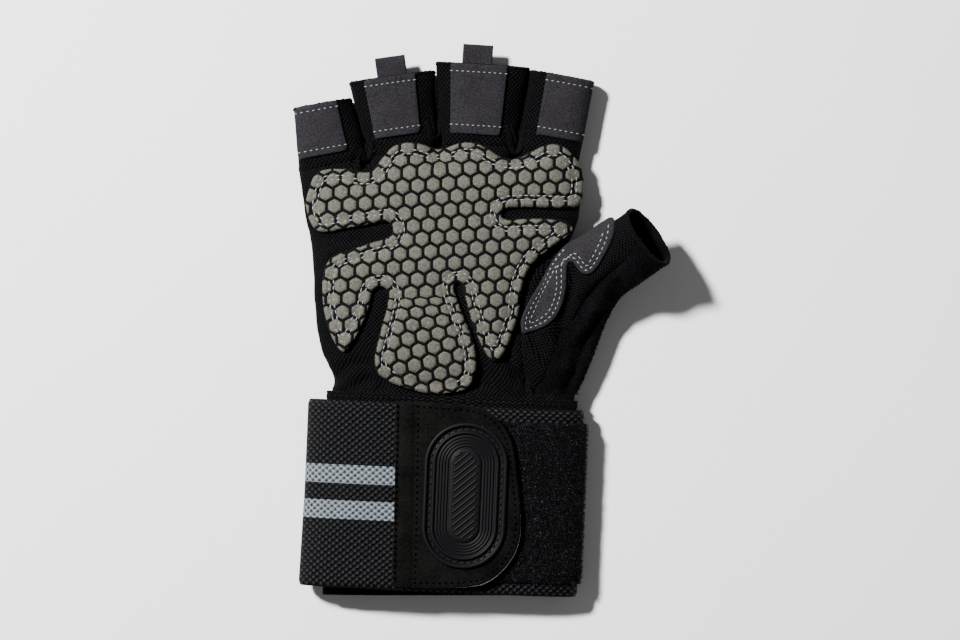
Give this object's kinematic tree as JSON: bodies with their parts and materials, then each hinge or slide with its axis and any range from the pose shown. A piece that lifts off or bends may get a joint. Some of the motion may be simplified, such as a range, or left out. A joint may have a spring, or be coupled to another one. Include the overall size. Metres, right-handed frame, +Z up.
{
  "type": "weightlifting glove",
  "caption": "Open-finger weightlifting glove with a padded palm, an open thumb tube and a strap wound round the wrist and closed with a flap.",
  "frame": {"origin": "bottom centre of the whole glove's box, on the surface that it lies on", "axes": "+Z up, towards the palm side; +Y from the wrist to the fingers; +X to the thumb side"},
  "size_m": [0.1442, 0.2128, 0.0327],
  "materials": {
    "knit": "open mesh knit",
    "terry": "looped terry",
    "suede": "napped suede",
    "grip": "matt moulded cells",
    "webbing": "ribbed woven webbing",
    "loop": "brushed loop pile",
    "hook": "moulded hooks",
    "nubuck": "fine nap",
    "badge": "matt moulded rubber"
  },
  "bodies": {
    "root": {"palm_panel": "knit", "back_panel": "knit", "thumb_knit_half": "knit", "thumb_terry_half": "terry", "little_stall": "knit", "ring_stall": "knit", "middle_stall": "knit", "index_stall": "knit", "little_band": "suede", "ring_band": "suede", "middle_band": "suede", "index_band": "suede", "ring_pull_tab": "suede", "middle_pull_tab": "suede", "grip_pad": "grip", "thumb_patch": "suede", "wrist_tape": "webbing", "wrist_strap": "webbing", "loop_panel": "loop", "hook_tape": "hook", "strap_end_flap": "nubuck", "rubber_badge": "badge"}
  },
  "joints": []
}
